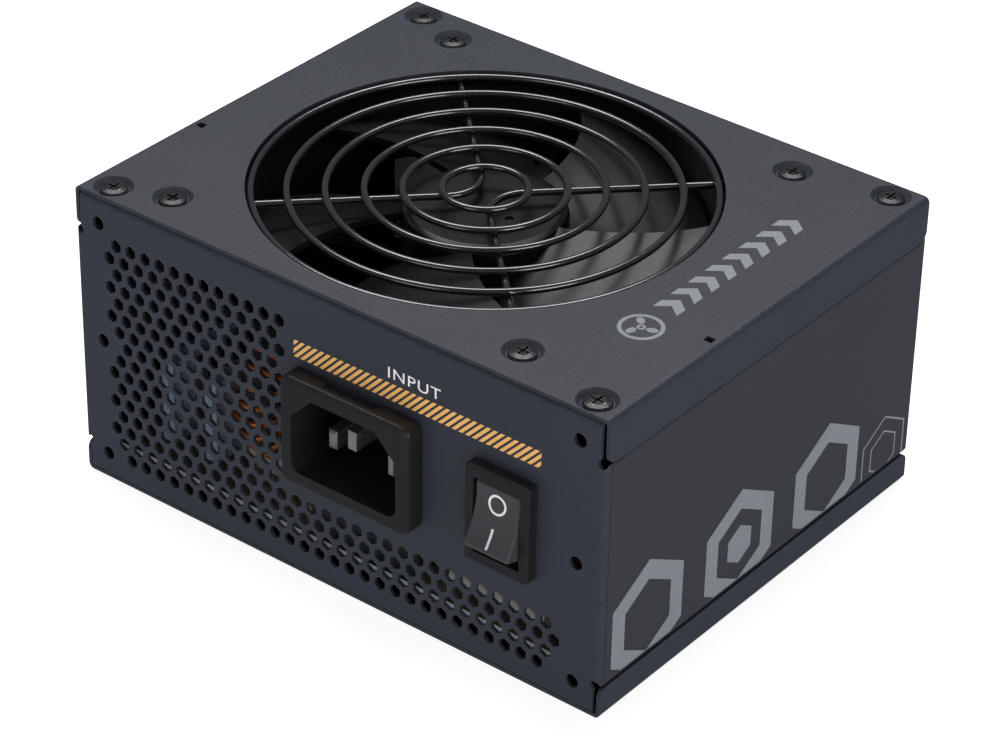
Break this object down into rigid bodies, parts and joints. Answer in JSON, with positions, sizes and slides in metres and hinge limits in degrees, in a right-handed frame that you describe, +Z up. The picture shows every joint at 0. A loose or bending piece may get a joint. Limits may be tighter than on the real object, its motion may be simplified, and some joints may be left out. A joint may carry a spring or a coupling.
{
  "type": "power supply unit",
  "caption": "Small-format computer power supply: steel case with top fan and wire guard, hexagonal vents, mains inlet, rocker switch and modular output sockets.",
  "frame": {"origin": "centre of the base", "axes": "+X right when facing the mains side, +Y from the mains side to the socket side, +Z up through the fan"},
  "size_m": [0.1252, 0.1063, 0.0635],
  "materials": {
    "coated_steel": "fine textured powder coat",
    "black_screws": "black zinc",
    "guard_wire": "gloss black coat",
    "fan_plastic": "satin moulded",
    "black_plastic": "matt moulded",
    "white_plastic": "moulded",
    "bright_pins": "nickel plated",
    "brass_contacts": "stamped",
    "spring_steel": "drawn wire",
    "bright_steel": "ground",
    "copper_winding": "enamelled copper",
    "magnet": "bonded ferrite",
    "ferrite": "ground ferrite",
    "board": "glass epoxy",
    "insulation": "film",
    "aluminium_plate": "rolled",
    "dark_component": "moulded",
    "yellow_component": "moulded",
    "tape": "polyester tape",
    "capacitor_sleeve": "shrink sleeve",
    "fuse_glass": "tube",
    "red_lead": "insulation",
    "black_lead": "insulation",
    "brown_lead": "insulation",
    "green_lead": "insulation",
    "label_film": "satin film"
  },
  "bodies": {
    "case": {"rear_wrap": "coated_steel", "top_cover": "coated_steel", "bottom_cover": "coated_steel", "socket_panel": "coated_steel", "cover_screws": "black_screws", "base_screws": "black_screws", "fan_screws": "black_screws", "panel_screws": "black_screws", "fan_guard": "guard_wire", "fan_frame": "fan_plastic", "inlet_housing": "black_plastic", "switch_housing": "black_plastic", "main_sockets": "black_plastic", "drive_sockets": "black_plastic", "processor_sockets": "black_plastic", "fan_plug": "white_plastic", "fan_header": "white_plastic", "inlet_line_pins": "bright_pins", "inlet_earth_pin": "bright_pins", "socket_pins": "bright_pins", "switch_terminals": "brass_contacts", "earth_lug": "brass_contacts", "fan_bearing": "brass_contacts", "standoffs": "brass_contacts", "board_screws": "bright_steel", "fan_stator": "bright_steel", "line_choke_winding": "copper_winding", "boost_choke_winding": "copper_winding", "stator_windings": "copper_winding", "line_choke_core": "ferrite", "boost_choke_core": "ferrite", "transformer_core": "ferrite", "main_board": "board", "socket_board": "board", "rectifier_board": "board", "fan_board": "board", "insulation_sheet": "insulation", "line_choke_base": "insulation", "heatsinks": "aluminium_plate", "bridge_rectifier": "dark_component", "power_transistors": "dark_component", "line_capacitors": "yellow_component", "transformer_winding": "tape", "standby_transformer": "tape", "bulk_capacitor": "capacitor_sleeve", "output_capacitors": "capacitor_sleeve", "mains_fuse": "fuse_glass", "fan_lead_red": "red_lead", "fan_lead_black": "black_lead", "mains_wires": "brown_lead", "earth_wire": "green_lead", "side_label": "label_film", "rating_label": "label_film"},
    "rotor": {"fan_rotor": "fan_plastic", "fan_shaft": "bright_steel", "rotor_magnet": "magnet"},
    "rocker": {"switch_rocker": "black_plastic", "switch_plunger": "brass_contacts", "plunger_spring": "spring_steel"},
    "lever": {"contact_lever": "brass_contacts"}
  },
  "joints": [
    {"name": "fan_spin", "type": "hinge", "parent": "case", "child": "rotor", "pos_m": [-0.0042, 0, 0.0534], "axis": [0, 0, 1], "continuous": true},
    {"name": "rocker_tilt", "type": "hinge", "parent": "case", "child": "rocker", "pos_m": [0.0406, -0.0495, 0.03415], "axis": [1, 0, 0], "range_deg": [0, 34]},
    {"name": "lever_tilt", "type": "hinge", "parent": "case", "child": "lever", "pos_m": [0.0406, -0.0423, 0.03415], "axis": [1, 0, 0], "range_deg": [-13.26, 0]}
  ],
  "couplings": [
    {"joint": "lever_tilt", "follows": "rocker_tilt", "ratio": -0.39}
  ]
}
